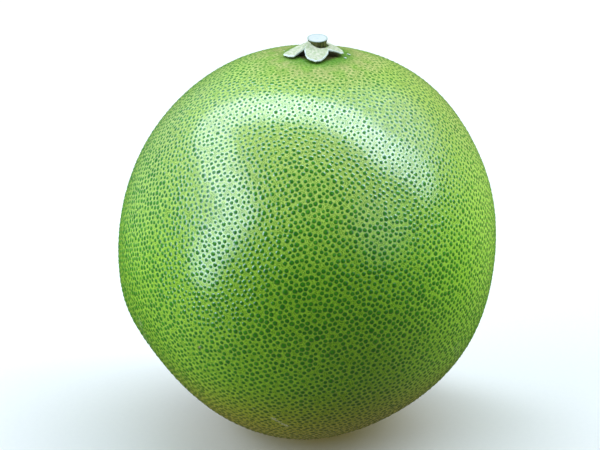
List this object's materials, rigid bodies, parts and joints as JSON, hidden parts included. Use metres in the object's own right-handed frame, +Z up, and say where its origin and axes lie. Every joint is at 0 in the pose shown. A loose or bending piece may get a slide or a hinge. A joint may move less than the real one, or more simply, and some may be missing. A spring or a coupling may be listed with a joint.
{
  "type": "pomelo",
  "caption": "Whole green pomelo, a large round citrus fruit with a glossy rind dotted with oil glands, a dry calyx and a cut stem, standing on its base.",
  "frame": {"origin": "centre of the bottom of the bounding box, on the surface that the fruit rests on", "axes": "+Z up from the flat spot to the stem, -Y towards the side seen first, +X to that view's right"},
  "size_m": [0.1506, 0.149, 0.1617],
  "materials": {
    "rind": "waxy green rind, glossy, with darker raised oil glands on a lighter green net",
    "calyx_leaf": "dry, matte, pale grey-green with whitish edges",
    "stem_wood": "olive-brown green bark with a pale, freshly cut end"
  },
  "bodies": {
    "root": {"fruit": "rind", "calyx": "calyx_leaf", "stem_stub": "stem_wood"}
  },
  "joints": []
}
